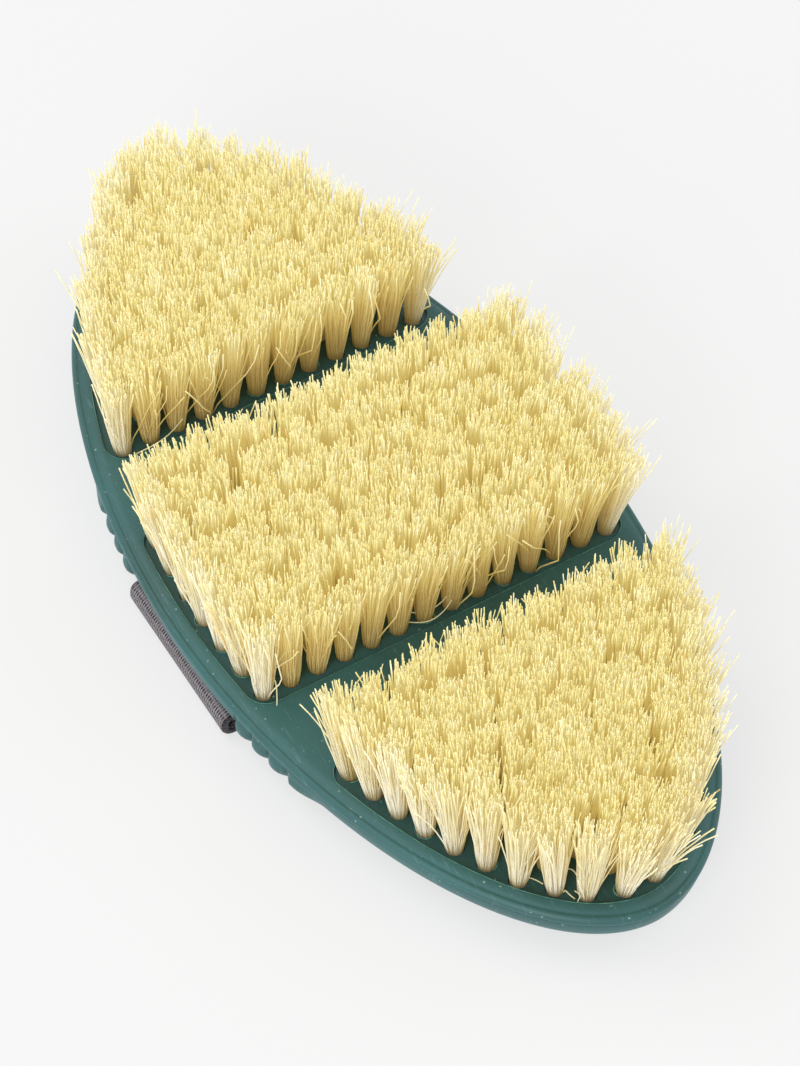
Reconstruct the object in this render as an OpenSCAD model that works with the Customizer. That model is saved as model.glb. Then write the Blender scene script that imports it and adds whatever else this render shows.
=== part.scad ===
// Flexible oval grooming brush with three tuft blocks and an elastic hand strap.
// The brush lies on its back: bristles point to +Z, the long axis is X, toe at -X, heel at +X.
// The origin is the middle of the flat underside of the hand strap, on the resting plane.
// All dimensions are in millimetres.

/* [Body] */
// Length of the rubber body over its rim
body_len = 210.4; // [200:0.2:220]
// Width of the rubber body over its rim
body_w = 99.6; // [96:0.2:104]
// Exponent of the oval outline, 2 is a true ellipse
oval_power = 1.90; // [1.86:0.02:2.0]
// Sides of the oval outline
oval_sides = 96; // [72:24:120]
// Height of the body's back above the resting plane
back_z = 2.1; // [2.0:0.05:2.3]
// Height of the seam between back shell and face tray
seam_z = 10.9; // [10.8:0.1:11.2]
// Height of the tuft plates' upper face
plate_top_z = 12.6; // [12.5:0.1:12.8]
// How far the face tray stands above the tuft plates
lip_h = 0.95; // [0.8:0.05:1.2]
// How far the rim bead stands out from the back shell
bead_out = 1.2; // [0.9:0.1:1.4]

/* [Tuft blocks] */
// Distance from the brush's middle to the inner tuft row of the toe and heel blocks
end_row_x = 47.4; // [46.5:0.1:48.5]
// Spacing of the tuft rows in the toe and heel blocks
end_row_pitch = 6.3; // [6.2:0.05:6.35]
// Distance from the brush's middle to the outer rows of the middle block
mid_row_x = 21.9; // [21.6:0.1:22.4]
// Target spacing of the tufts along a row
tuft_pitch = 6.35; // [6.3:0.05:6.6]
// Half length of the oval through the centres of the outer tufts
tuft_oval_x = 97.9; // [97.4:0.1:98]
// Half width of the oval through the centres of the outer tufts
tuft_oval_y = 42.0; // [41.6:0.1:42.2]
// How much each end of an end block's row stops short of that oval
end_row_trim = 0.8; // [0.6:0.1:1]
// Margin of the plate around the tuft centres at the channels
plate_margin = 3.7; // [3.4:0.1:4]
// Thickness of a tuft plate
plate_t = 4.4; // [4.2:0.1:4.5]

/* [Tufts] */
// Length of the bristles above the plate
tuft_len = 24.5; // [20:0.5:28]
// Depth of a tuft hole
hole_depth = 3.7; // [3.4:0.1:3.8]
// Radius of a tuft hole
hole_r = 2.02; // [2.0:0.01:2.1]
// Radius of a tuft at the bottom of its hole
tuft_r0 = 1.85; // [1.7:0.05:1.85]
// Radius of a tuft at its tips
tuft_r1 = 2.85; // [2.5:0.05:2.9]
// Outward lean of the outermost tufts in degrees
lean_out = 7; // [0:0.5:8]
// Lean of the rows beside a channel in degrees
lean_channel = 3.5; // [0:0.5:4]

/* [Hand strap] */
// Width of the webbing
strap_w = 40; // [38:0.5:41]
// Thickness of the webbing
strap_t = 1.8; // [1.6:0.1:1.8]
// How far the side folds of the strap reach from the middle
strap_reach = 49.6; // [49.4:0.1:50.2]

/* [Grip ribs] */
// Distance from the middle to the first grip notch
rib_x0 = 27.0; // [26.8:0.1:27.2]
// Spacing of the grip notches
rib_pitch = 5.3; // [5.2:0.1:5.4]
// Half width of a grip notch
rib_r = 0.8; // [0.6:0.05:0.9]
// How deep the grip notches cut into the shell
rib_depth = 2.8; // [2.4:0.1:2.9]

/* [Flex joints] */
// Bend towards the bristles in degrees
flex_up = 22; // [10:1:26]
// Bend towards the back in degrees
flex_down = 12; // [6:1:16]
// Radius of the flexible web's core
web_r = 2.6; // [2.4:0.1:2.8]

/* [Hidden] */
$fn = 48;
tuft_fn = 24;
overcut = 1;     // how far a cutter pokes out of what it cuts
cut_half = 70;   // half length of cutters that run across the body

// Block positions along X, and strap sides along Y (left is +Y)
TOE = -1;
MIDDLE = 0;
HEEL = 1;
LEFT = 1;
RIGHT = -1;

// Body: the base oval is the rim without its bead
base_x = body_len/2 - bead_out;
base_y = body_w/2 - bead_out;
top_z = plate_top_z + lip_h;
plate_z = plate_top_z - plate_t;

// Pockets for the tuft plates
pocket_in = 3.0;
corner_r = 4.8;
plate_clear = 0.05;
end_block_x = end_row_x - plate_margin;
mid_block_x = mid_row_x + plate_margin;

// Flex joints, in the middle of the channels
hinge_x = (end_block_x + mid_block_x)/2;
hinge_z = (back_z + top_z)/2;
run_clear = 0.1;

// Tuft layout
tuft_power = 1.94;
end_rows = 9;
mid_rows = 7;

// Strap folds, the bay around them and the slot for the strap's ends
fold_r = 1.5;
fold_y = strap_reach - strap_t/2;
fold_z = strap_t/2 + fold_r;
bay_half = strap_w/2 + 1.8;
bay_y = fold_y - 3.1;
bay_top = 7.2;
slot_z0 = 4.05;
slot_z1 = 6.1;
slot_clear = 0.3;
anchor_y = 36.2;
anchor_z = 3.1;
anchor_len = 4.5;
anchor_h = 1.0;

TEAL = [0.10, 0.33, 0.31];
TEAL_DARK = [0.07, 0.24, 0.22];
STRAW = [0.90, 0.82, 0.55];
GREY = [0.42, 0.40, 0.42];
STEEL = [0.72, 0.72, 0.70];
BLACK = [0.12, 0.12, 0.13];

NODES = ["middle_back_shell", "toe_back_shell", "heel_back_shell",
  "middle_face_tray", "toe_face_tray", "heel_face_tray",
  "toe_flex_web", "heel_flex_web",
  "middle_tuft_plate", "toe_tuft_plate", "heel_tuft_plate",
  "middle_anchor_wires", "toe_anchor_wires", "heel_anchor_wires",
  "hand_strap", "left_strap_side", "right_strap_side",
  "left_strap_end", "right_strap_end", "left_strap_anchor", "right_strap_anchor",
  "middle_tuft_row_1", "middle_tuft_row_2", "middle_tuft_row_3", "middle_tuft_row_4",
  "middle_tuft_row_5", "middle_tuft_row_6", "middle_tuft_row_7",
  "toe_tuft_row_1", "toe_tuft_row_2", "toe_tuft_row_3", "toe_tuft_row_4", "toe_tuft_row_5",
  "toe_tuft_row_6", "toe_tuft_row_7", "toe_tuft_row_8", "toe_tuft_row_9",
  "heel_tuft_row_1", "heel_tuft_row_2", "heel_tuft_row_3", "heel_tuft_row_4", "heel_tuft_row_5",
  "heel_tuft_row_6", "heel_tuft_row_7", "heel_tuft_row_8", "heel_tuft_row_9"];
node = "all";

// ---- Helpers -------------------------------------------------------------
// Children are drawn for the +X or +Y side and mirrored for a negative side
module on_side(side) if (side < 0) mirror([1, 0, 0]) children(); else children();
module on_hand(hand) if (hand < 0) mirror([0, 1, 0]) children(); else children();

module layer(z0, z1) translate([0, 0, z0]) linear_extrude(z1 - z0) children();

// Quarter turn about a centre; way is 1 for anticlockwise, -1 for clockwise
function quarter_arc(centre, radius, start, way = 1) =
  [for (i = [0:6]) let(angle = start + way*15*i) centre + radius*[cos(angle), sin(angle)]];

// ---- Outlines ------------------------------------------------------------
// Half extent of an oval at distance `along` from its middle; 0 beyond its end
function oval_half(along, half_along, half_across, power) =
  let(rest = 1 - pow(abs(along)/half_along, power))
  rest <= 0 ? 0 : half_across*pow(rest, 1/power);

// Half width of the base oval grown by `grow`, at distance x from the middle
function half_w(x, grow = 0) = oval_half(x, base_x + grow, base_y + grow, oval_power);
function oval_pt(angle, grow) = let(c = cos(angle), s = sin(angle))
  [(base_x + grow)*sign(c)*pow(abs(c), 2/oval_power),
   (base_y + grow)*sign(s)*pow(abs(s), 2/oval_power)];
function oval(grow) = [for (i = [0:oval_sides - 1]) oval_pt(360*(i + 0.5)/oval_sides, grow)];
// Angle parameter of the oval point at distance x from the middle
function oval_angle(x, grow) = acos(pow(x/(base_x + grow), oval_power/2));
// Oval points strictly between two angle parameters
function oval_arc(from, to, steps, grow) =
  [for (i = [1:steps - 1]) oval_pt(from + (to - from)*i/steps, grow)];

// Heel pocket: the oval's nose, closed by a straight side at x0 with rounded corners
function end_outline(x0, grow, r) =
  let(x = x0 + r, y = half_w(x, grow) - r, angle = oval_angle(x, grow))
  concat(
    quarter_arc([x, -y], r, 180),
    oval_arc(-angle, angle, 48, grow),
    quarter_arc([x, y], r, 90));
// Middle pocket: a full-width strip with rounded corners
function mid_outline(x0, grow, r) =
  let(x = x0 - r, y = half_w(x, grow) - r, angle = oval_angle(x, grow))
  concat(
    quarter_arc([x, y], r, 0),
    oval_arc(angle, 180 - angle, 20, grow),
    quarter_arc([-x, y], r, 90),
    quarter_arc([-x, -y], r, 180),
    oval_arc(180 + angle, 360 - angle, 20, grow),
    quarter_arc([x, -y], r, 270));

module block_prism(side, clear, z0, z1) layer(z0, z1)
  if (side == MIDDLE)
    polygon(mid_outline(mid_block_x - clear, -pocket_in - clear, corner_r - clear));
  else
    on_side(side)
      polygon(end_outline(end_block_x + clear, -pocket_in - clear, corner_r - clear));

// Stacked oval slabs from z0 upwards; each step is [growth of the base oval, top z]
module oval_stack(z0, steps) for (i = [0:len(steps) - 1])
  layer(i == 0 ? z0 : steps[i - 1][1], steps[i][1]) polygon(oval(steps[i][0]));

// ---- Segments ------------------------------------------------------------
// Wedge-ended region of one body segment; the wedges let neighbours bend
module segment_region(side) {
  gap = 0.05;
  spare_angle = 0.4;
  low = -10;
  high = 40;
  far_x = 140;
  rise = (high - hinge_z)*tan(flex_up/2 + spare_angle);
  drop = (hinge_z - low)*tan(flex_down/2 + spare_angle);
  inner = hinge_x - gap;
  outer = hinge_x + gap;
  translate([0, cut_half, 0]) rotate([90, 0, 0]) linear_extrude(2*cut_half)
    if (side == MIDDLE)
      polygon([[-inner, hinge_z], [-inner + drop, low], [inner - drop, low],
        [inner, hinge_z], [inner - rise, high], [-inner + rise, high]]);
    else
      on_side(side) polygon([[outer, hinge_z], [outer + drop, low], [far_x, low],
        [far_x, high], [outer + rise, high]]);
}

// Cylinder along Y through a hinge, reaching half_len to each side
module hinge_rod(side, half_len, r)
  translate([side*hinge_x, half_len, hinge_z]) rotate([90, 0, 0]) cylinder(h = 2*half_len, r = r);

// Round seats for the webs' cores; the end segments have running clearance
module web_seats(side) for (s = side == MIDDLE ? [TOE, HEEL] : [side])
  hinge_rod(s, cut_half, web_r + (side == MIDDLE ? 0 : run_clear));

// Finger grips: stepped pads below the seam, cut into tabs by the rib notches
module grip_pads() {
  pad_end = rib_x0 + 3*rib_pitch - 0.4;
  for (side = [TOE, HEEL]) intersection() {
    oval_stack(back_z + 0.8, [[-1.35, back_z + 2.5], [-0.65, back_z + 4.5]]);
    on_side(side) translate([bay_half, -60, 0]) cube([pad_end - bay_half, 120, 20]);
  }
}

// Round-bottomed notches, open to the outside
module rib_notches() {
  z0 = back_z - overcut;
  height = seam_z + 2*overcut - z0;
  for (side = [TOE, HEEL], hand = [LEFT, RIGHT], k = [0:2]) {
    x = rib_x0 + k*rib_pitch;
    y = half_w(x) - rib_depth + rib_r;
    on_side(side) on_hand(hand) {
      translate([x, y, z0]) cylinder(h = height, r = rib_r);
      translate([x - rib_r, y, z0]) cube([2*rib_r, 6, height]);
    }
  }
}

// Bays in the shell's sides for the strap's folds, slots for its ends, pockets for the anchors
module strap_bays() {
  slot_w = strap_w + 2*slot_clear;
  pocket_y = anchor_y - slot_clear;
  pocket_len = anchor_len + 2*slot_clear;
  pocket_z = anchor_z - 0.1;
  slot_y = pocket_y + pocket_len - 0.1;
  for (hand = [LEFT, RIGHT]) on_hand(hand) {
    translate([-bay_half, bay_y, back_z - overcut])
      cube([2*bay_half, 10, bay_top - back_z + overcut]);
    translate([-slot_w/2, slot_y, slot_z0])
      cube([slot_w, bay_y + overcut - slot_y, slot_z1 - slot_z0]);
    translate([-slot_w/2, pocket_y, pocket_z])
      cube([slot_w, pocket_len, slot_z1 - pocket_z]);
  }
}

module whole_back_shell() difference() {
  union() {
    oval_stack(back_z, [
      [-5.8, seam_z - 8.2], [-3.8, seam_z - 7.5], [-2.7, seam_z - 6.6], [-1.7, seam_z - 5.5],
      [-0.9, seam_z - 4.3], [-0.2, seam_z - 3.0], [0.1, seam_z - 0.5], [-0.75, seam_z]]);
    grip_pads();
  }
  rib_notches();
  strap_bays();
}
module back_shell(side) color(TEAL) difference() {
  intersection() {
    whole_back_shell();
    segment_region(side);
  }
  block_prism(side, 0, plate_z, seam_z + overcut);
  web_seats(side);
}

module whole_face_tray() oval_stack(seam_z, [
  [0.5, seam_z + 0.5], [bead_out, seam_z + 1.6], [0.5, seam_z + 2.0], [-0.85, top_z]]);
module face_tray(side) color(TEAL) difference() {
  intersection() {
    whole_face_tray();
    segment_region(side);
  }
  block_prism(side, 0, seam_z - overcut, top_z + overcut);
  web_seats(side);
}

module flex_web(side) color(TEAL)
  hinge_rod(side, half_w(hinge_x) - rib_depth - 0.4, web_r);

// ---- Tufts ---------------------------------------------------------------
// Rows are counted towards +X in the middle block and outwards in the end blocks
function row_x(side, row) = side == MIDDLE
  ? -mid_row_x + (row - 1)*2*mid_row_x/(mid_rows - 1)
  : end_row_x + (row - 1)*end_row_pitch;
function row_half(x) = oval_half(x, tuft_oval_x, tuft_oval_y, tuft_power);
function row_reach(y) = oval_half(y, tuft_oval_y, tuft_oval_x, tuft_power);

// Four tufts that follow the nose of the oval
function nose_row() = [for (i = [0:3]) let(y = (i - 1.5)*6.8) [row_reach(y), y]];
// Four tufts, the outer two set back towards the middle of the brush
function four_row(x, half) =
  [[x - 1.1, -half - 0.6], [x, -3.2], [x, 3.2], [x - 1.1, half + 0.6]];
function even_row(x, half) = let(n = max(2, round(2*half/tuft_pitch)))
  [for (i = [0:n]) [x, -half + 2*half*i/n]];

// Tuft centres of a row; an end block's last three rows are not trimmed
function row_points(side, row) =
  let(x = row_x(side, row), half = row_half(x), is_end = side != MIDDLE)
  is_end && row == end_rows ? nose_row() :
  is_end && row == end_rows - 1 ? four_row(x, half) :
  even_row(x, half - (is_end && row < end_rows - 2 ? end_row_trim : 0));
function block_rows(side) = [1:side == MIDDLE ? mid_rows : end_rows];

// Rotation of a tuft; the lean grows with the cube of the distance from the block's middle
function tuft_lean(side, point) =
  let(
    along = side == MIDDLE ? point[0]/mid_row_x
      : (point[0] - (end_row_x + tuft_oval_x)/2)/((tuft_oval_x - end_row_x)/2),
    across = point[1]/tuft_oval_y,
    most_along = along > 0 && side != MIDDLE ? lean_out : lean_channel)
  [-lean_out*pow(across, 3), most_along*pow(along, 3), 0];

// Places children at the bottom of every tuft hole in the given rows
module at_holes(side, rows) on_side(side)
  for (row = rows, point = row_points(side, row))
    translate([point[0], point[1], plate_top_z]) rotate(tuft_lean(side, point))
      translate([0, 0, -hole_depth]) children();

module tuft_row(side, row) color(STRAW) at_holes(side, [row])
  cylinder(h = hole_depth + tuft_len, r1 = tuft_r0, r2 = tuft_r1, $fn = tuft_fn);

module tuft_plate(side) color(TEAL_DARK) difference() {
  block_prism(side, plate_clear, plate_z, plate_top_z);
  at_holes(side, block_rows(side))
    cylinder(h = hole_depth + 2*overcut, r = hole_r, $fn = tuft_fn);
}

// Flat wires that pin each tuft in its hole and bite into the plate at both ends
module anchor_wires(side) {
  wire_t = 0.4;
  wire_h = 1.5;
  wire_lift = 0.35;
  wire_half = hole_r + 0.25;
  color(STEEL) at_holes(side, block_rows(side))
    translate([-wire_t/2, -wire_half, wire_lift]) cube([wire_t, 2*wire_half, wire_h]);
}

// ---- Hand strap ----------------------------------------------------------
// Strap paths are centrelines of [y, z] points
web_z = 5.05;    // centreline height of the strap's ends in their slots
bulge_r = 2.3;
bulge_z = 3.2;
// Quarter turn from the side into the flat underside
fold_path = concat([[fold_y, fold_z + 0.3]],
  quarter_arc([fold_y - fold_r, fold_z], fold_r, 0, -1));
// Out of the slot, over the bulge and down to the fold
side_path = concat([[bay_y - 0.2, web_z], [bay_y + 0.2, web_z]],
  quarter_arc([fold_y - bulge_r, bulge_z], bulge_r, 90, -1), [[fold_y, fold_z + 0.35]]);
end_path = [[37.2, web_z], [bay_y - 0.25, web_z]];

// Offset from path point i to the ribbon's edge, square to the path
function edge_offset(path, i) =
  let(
    run = path[min(i + 1, len(path) - 1)] - path[max(i - 1, 0)],
    dir = run/norm(run))
  strap_t/2*[-dir[1], dir[0]];
function ribbon(path) = concat(
  [for (i = [0:len(path) - 1]) path[i] + edge_offset(path, i)],
  [for (i = [len(path) - 1:-1:0]) path[i] - edge_offset(path, i)]);
module webbing(path) translate([-strap_w/2, 0, 0])
  rotate([90, 0, 90]) linear_extrude(strap_w) polygon(ribbon(path));

module hand_strap() color(GREY) webbing(concat(fold_path,
  [for (i = [len(fold_path) - 1:-1:0]) [-fold_path[i][0], fold_path[i][1]]]));
module strap_side(hand) color(GREY) on_hand(hand) webbing(side_path);
module strap_end(hand) color(GREY) on_hand(hand) webbing(end_path);
module strap_anchor(hand) color(BLACK) on_hand(hand)
  translate([-strap_w/2, anchor_y, anchor_z]) cube([strap_w, anchor_len, anchor_h]);

// ---- Nodes ---------------------------------------------------------------
function on(name) = node == "all" || node == name;

if (on("middle_back_shell")) back_shell(MIDDLE);
if (on("toe_back_shell")) back_shell(TOE);
if (on("heel_back_shell")) back_shell(HEEL);
if (on("middle_face_tray")) face_tray(MIDDLE);
if (on("toe_face_tray")) face_tray(TOE);
if (on("heel_face_tray")) face_tray(HEEL);
if (on("toe_flex_web")) flex_web(TOE);
if (on("heel_flex_web")) flex_web(HEEL);
if (on("middle_tuft_plate")) tuft_plate(MIDDLE);
if (on("toe_tuft_plate")) tuft_plate(TOE);
if (on("heel_tuft_plate")) tuft_plate(HEEL);
if (on("middle_anchor_wires")) anchor_wires(MIDDLE);
if (on("toe_anchor_wires")) anchor_wires(TOE);
if (on("heel_anchor_wires")) anchor_wires(HEEL);
if (on("hand_strap")) hand_strap();
if (on("left_strap_side")) strap_side(LEFT);
if (on("right_strap_side")) strap_side(RIGHT);
if (on("left_strap_end")) strap_end(LEFT);
if (on("right_strap_end")) strap_end(RIGHT);
if (on("left_strap_anchor")) strap_anchor(LEFT);
if (on("right_strap_anchor")) strap_anchor(RIGHT);
if (on("middle_tuft_row_1")) tuft_row(MIDDLE, 1);
if (on("middle_tuft_row_2")) tuft_row(MIDDLE, 2);
if (on("middle_tuft_row_3")) tuft_row(MIDDLE, 3);
if (on("middle_tuft_row_4")) tuft_row(MIDDLE, 4);
if (on("middle_tuft_row_5")) tuft_row(MIDDLE, 5);
if (on("middle_tuft_row_6")) tuft_row(MIDDLE, 6);
if (on("middle_tuft_row_7")) tuft_row(MIDDLE, 7);
if (on("toe_tuft_row_1")) tuft_row(TOE, 1);
if (on("toe_tuft_row_2")) tuft_row(TOE, 2);
if (on("toe_tuft_row_3")) tuft_row(TOE, 3);
if (on("toe_tuft_row_4")) tuft_row(TOE, 4);
if (on("toe_tuft_row_5")) tuft_row(TOE, 5);
if (on("toe_tuft_row_6")) tuft_row(TOE, 6);
if (on("toe_tuft_row_7")) tuft_row(TOE, 7);
if (on("toe_tuft_row_8")) tuft_row(TOE, 8);
if (on("toe_tuft_row_9")) tuft_row(TOE, 9);
if (on("heel_tuft_row_1")) tuft_row(HEEL, 1);
if (on("heel_tuft_row_2")) tuft_row(HEEL, 2);
if (on("heel_tuft_row_3")) tuft_row(HEEL, 3);
if (on("heel_tuft_row_4")) tuft_row(HEEL, 4);
if (on("heel_tuft_row_5")) tuft_row(HEEL, 5);
if (on("heel_tuft_row_6")) tuft_row(HEEL, 6);
if (on("heel_tuft_row_7")) tuft_row(HEEL, 7);
if (on("heel_tuft_row_8")) tuft_row(HEEL, 8);
if (on("heel_tuft_row_9")) tuft_row(HEEL, 9);
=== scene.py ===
"""An oval brush: a teal rubber body, straw-coloured fibre tufts and a grey woven strap.

x runs along the brush with the toe at -x and the heel at +x, y runs across it, and the tufts
point up +z. The strap passes under the body. The real brush bends at a channel at each side of
the middle block. Lengths are in millimetres, except for shaders, floor and lights in metres.
"""
import math

import bmesh
import bpy
import numpy as np
from mathutils import Matrix, Vector, geometry


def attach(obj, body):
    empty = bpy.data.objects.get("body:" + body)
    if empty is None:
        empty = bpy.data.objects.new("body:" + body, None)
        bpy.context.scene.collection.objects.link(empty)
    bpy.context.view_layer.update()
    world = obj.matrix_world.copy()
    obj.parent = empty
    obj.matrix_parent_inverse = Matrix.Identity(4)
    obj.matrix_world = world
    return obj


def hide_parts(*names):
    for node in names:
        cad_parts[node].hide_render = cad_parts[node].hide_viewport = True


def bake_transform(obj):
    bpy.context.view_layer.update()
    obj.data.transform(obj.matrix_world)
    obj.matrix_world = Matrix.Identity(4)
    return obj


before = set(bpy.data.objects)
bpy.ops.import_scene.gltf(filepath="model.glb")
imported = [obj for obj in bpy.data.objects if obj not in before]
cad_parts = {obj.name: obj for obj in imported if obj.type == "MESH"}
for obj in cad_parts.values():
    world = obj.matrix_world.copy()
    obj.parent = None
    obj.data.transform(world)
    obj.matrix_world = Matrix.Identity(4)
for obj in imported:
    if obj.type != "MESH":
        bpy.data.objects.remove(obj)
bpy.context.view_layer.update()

MM = 0.001                                   # metres in a millimetre
SIDE_OF = {"toe": -1, "middle": 0, "heel": 1}

# Superellipses: half length, half width, power
BODY_X, BODY_Y, BODY_POWER = 104.0, 48.6, 1.90
TUFTS_X, TUFTS_Y, TUFTS_POWER = 97.9, 42.0, 1.94       # through the outermost tufts

# Heights
PLATE_Z, TOP_Z, BACK_Z = 12.6, 13.55, 2.1

# Channels between the blocks, by distance from the middle
CHANNEL_OUTER, CHANNEL_INNER = 43.7, 25.6
HINGE_X = (CHANNEL_OUTER + CHANNEL_INNER) / 2

# Pockets in the top of the tray
POCKET_RIM, POCKET_CORNER = 3.0, 4.8

# Bay for the strap and grip tabs in the sides of the body
BAY_X, BAY_Y, BAY_TOP = 21.8, 45.6, 7.2
TAB_START = BAY_X - 0.2
TAB_EDGES = [TAB_START, 27.0, 32.3, 37.6]

# Tuft rows: the middle block spans +-MIDDLE_ROW_X, the end blocks start at END_ROW_X
TUFT_LENGTH = 24.5
MIDDLE_ROW_X, END_ROW_X, END_ROW_PITCH = 21.9, 47.4, 6.3

# Strap; its U coordinate is x + STRAP_UV_CENTRE
STRAP_WIDTH, STRAP_THICKNESS, STRAP_CORDS = 40.0, 1.8, 60
STRAP_UV_CENTRE = 100.0


# ---- curves ----------------------------------------------------------------
def smooth(value, start, end):
    """Smooth step from 0 at start to 1 at end."""
    t = np.clip((np.asarray(value, float) - start) / (end - start), 0, 1)
    return t * t * (3 - 2 * t)


def plateau(z, start, full, fade, end):
    """Rises from 0 at start to 1 at full, then falls from fade to 0 at end."""
    return float(smooth(z, start, full)) * float(1 - smooth(z, fade, end))


def body_half_width(x, outset=0.0):
    q = 1 - (np.abs(x) / (BODY_X + outset)) ** BODY_POWER
    return (BODY_Y + outset) * np.maximum(q, 0) ** (1 / BODY_POWER)


def body_points(angle, outset):
    cos, sin = np.cos(angle), np.sin(angle)
    x = (BODY_X + outset) * np.sign(cos) * np.abs(cos) ** (2 / BODY_POWER)
    y = (BODY_Y + outset) * np.sign(sin) * np.abs(sin) ** (2 / BODY_POWER)
    return np.stack([x, y], -1)


def body_angle(x, outset=0.0):
    """Angle at which body_points reaches x."""
    return math.acos((x / (BODY_X + outset)) ** (BODY_POWER / 2))


def tufts_half_width(x):
    return TUFTS_Y * max(1 - (abs(x) / TUFTS_X) ** TUFTS_POWER, 0) ** (1 / TUFTS_POWER)


def tufts_reach(y):
    return TUFTS_X * max(1 - (abs(y) / TUFTS_Y) ** TUFTS_POWER, 0) ** (1 / TUFTS_POWER)


def unit(vectors):
    return vectors / np.linalg.norm(vectors, axis=-1, keepdims=True)


def distance_along(points):
    steps = np.linalg.norm(np.diff(points, axis=0), axis=1)
    return np.concatenate([[0], np.cumsum(steps)])


def resample(points, distances):
    """Points at the given distances along a polyline."""
    known = distance_along(points)
    return np.stack([np.interp(distances, known, column) for column in points.T], -1)


def cut_corners(points, times):
    """Round a polyline by cutting its corners; both ends stay."""
    points = np.array(points, float)
    for _ in range(times):
        after = 0.75 * points[:-1] + 0.25 * points[1:]
        before = 0.25 * points[:-1] + 0.75 * points[1:]
        inner = np.stack([after, before], 1).reshape(-1, points.shape[1])
        points = np.concatenate([points[:1], inner, points[-1:]])
    return points


# ---- meshes ----------------------------------------------------------------
def add_object(name, data):
    ob = bpy.data.objects.new(name, data)
    bpy.context.scene.collection.objects.link(ob)
    return ob


def make_mesh(name, points, faces, material):
    mesh = bpy.data.meshes.new(name)
    mesh.from_pydata([tuple(p) for p in (np.asarray(points) * MM)], [], faces)
    mesh.validate()
    mesh.materials.append(material)
    mesh.polygons.foreach_set("use_smooth", [True] * len(mesh.polygons))
    return add_object(name, mesh)


def big_mesh(name, points, quads, tris, material, colours=None, uvs=None):
    """Fast mesh from arrays: quads (n, 4), tris (m, 3), colours and uvs per point."""
    mesh = bpy.data.meshes.new(name)
    quads = np.asarray(quads, np.int32).reshape(-1, 4)
    tris = np.asarray(tris, np.int32).reshape(-1, 3)
    mesh.vertices.add(len(points))
    places = (np.asarray(points, float) * MM).astype(np.float32)
    mesh.vertices.foreach_set("co", places.ravel())
    corners = np.concatenate([quads.ravel(), tris.ravel()]).astype(np.int32)
    mesh.loops.add(len(corners))
    mesh.loops.foreach_set("vertex_index", corners)
    tri_starts = len(quads) * 4 + np.arange(len(tris)) * 3
    starts = np.concatenate([np.arange(len(quads)) * 4, tri_starts]).astype(np.int32)
    mesh.polygons.add(len(starts))
    mesh.polygons.foreach_set("loop_start", starts)
    mesh.polygons.foreach_set("use_smooth", np.ones(len(starts), bool))
    mesh.update(calc_edges=True)
    mesh.validate()
    if colours is not None:
        attribute = mesh.attributes.new("fibre", "FLOAT_COLOR", "POINT")
        attribute.data.foreach_set("color", np.asarray(colours, np.float32).ravel())
    if uvs is not None:
        layer = mesh.uv_layers.new(name="UVMap")
        corners = np.zeros(len(mesh.loops), np.int32)
        mesh.loops.foreach_get("vertex_index", corners)
        layer.data.foreach_set("uv", np.asarray(uvs, np.float32)[corners].ravel())
    mesh.materials.append(material)
    return add_object(name, mesh)


def face_outwards(ob):
    bm = bmesh.new()
    bm.from_mesh(ob.data)
    bmesh.ops.recalc_face_normals(bm, faces=bm.faces[:])
    bm.to_mesh(ob.data)
    bm.free()


# ---- materials -------------------------------------------------------------
def srgb(*channels):
    """Linear colour from sRGB channels between 0 and 255."""
    def linear(c):
        return (c / 255 / 12.92) if c <= 10.3 else (((c / 255) + 0.055) / 1.055) ** 2.4
    return (*map(linear, channels), 1.0)


def grey(value):
    return (value, value, value, 1)


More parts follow.
